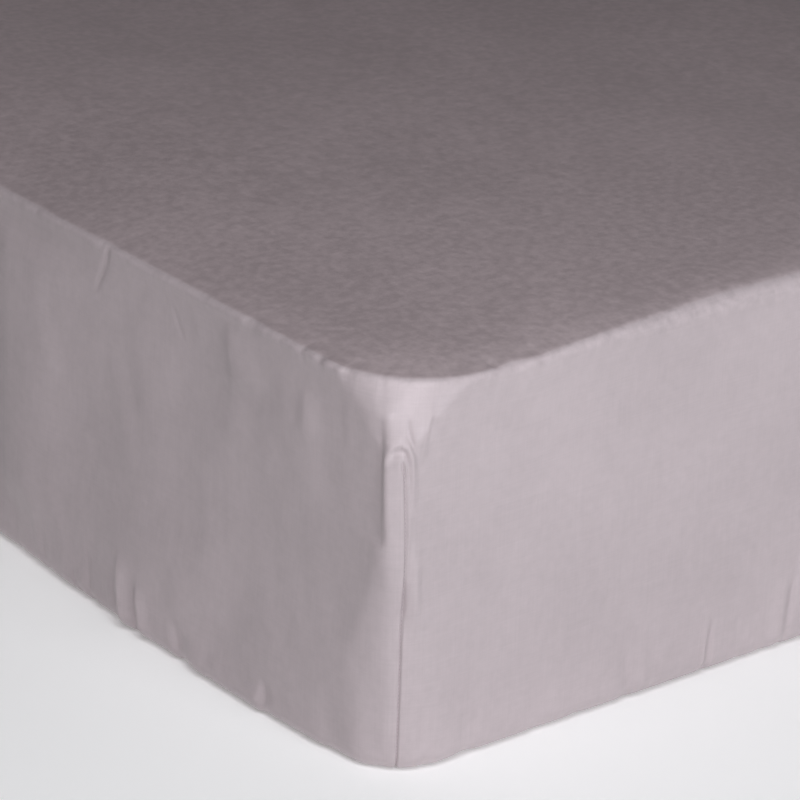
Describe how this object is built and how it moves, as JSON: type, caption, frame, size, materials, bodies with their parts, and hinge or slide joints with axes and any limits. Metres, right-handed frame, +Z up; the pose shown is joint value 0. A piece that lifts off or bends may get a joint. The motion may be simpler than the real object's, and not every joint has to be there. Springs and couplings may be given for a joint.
{
  "type": "fitted sheet on mattress",
  "caption": "Fitted sheet drawn smooth over a deep double mattress, with a sewn dart at each corner and a gathered hem tucked underneath.",
  "frame": {"origin": "middle of the surface that the mattress and the tucked hem rest on", "axes": "+Z up, +Y along the mattress from foot to head, +X across it"},
  "size_m": [1.4272, 1.9252, 0.3095],
  "materials": {
    "sheet_cotton": "plain-dyed mauve grey cotton percale, matt with a faint sheen",
    "mattress_ticking": "plain off-white woven ticking, matt"
  },
  "bodies": {
    "root": {"fitted_sheet": "sheet_cotton", "mattress": "mattress_ticking"}
  },
  "joints": []
}
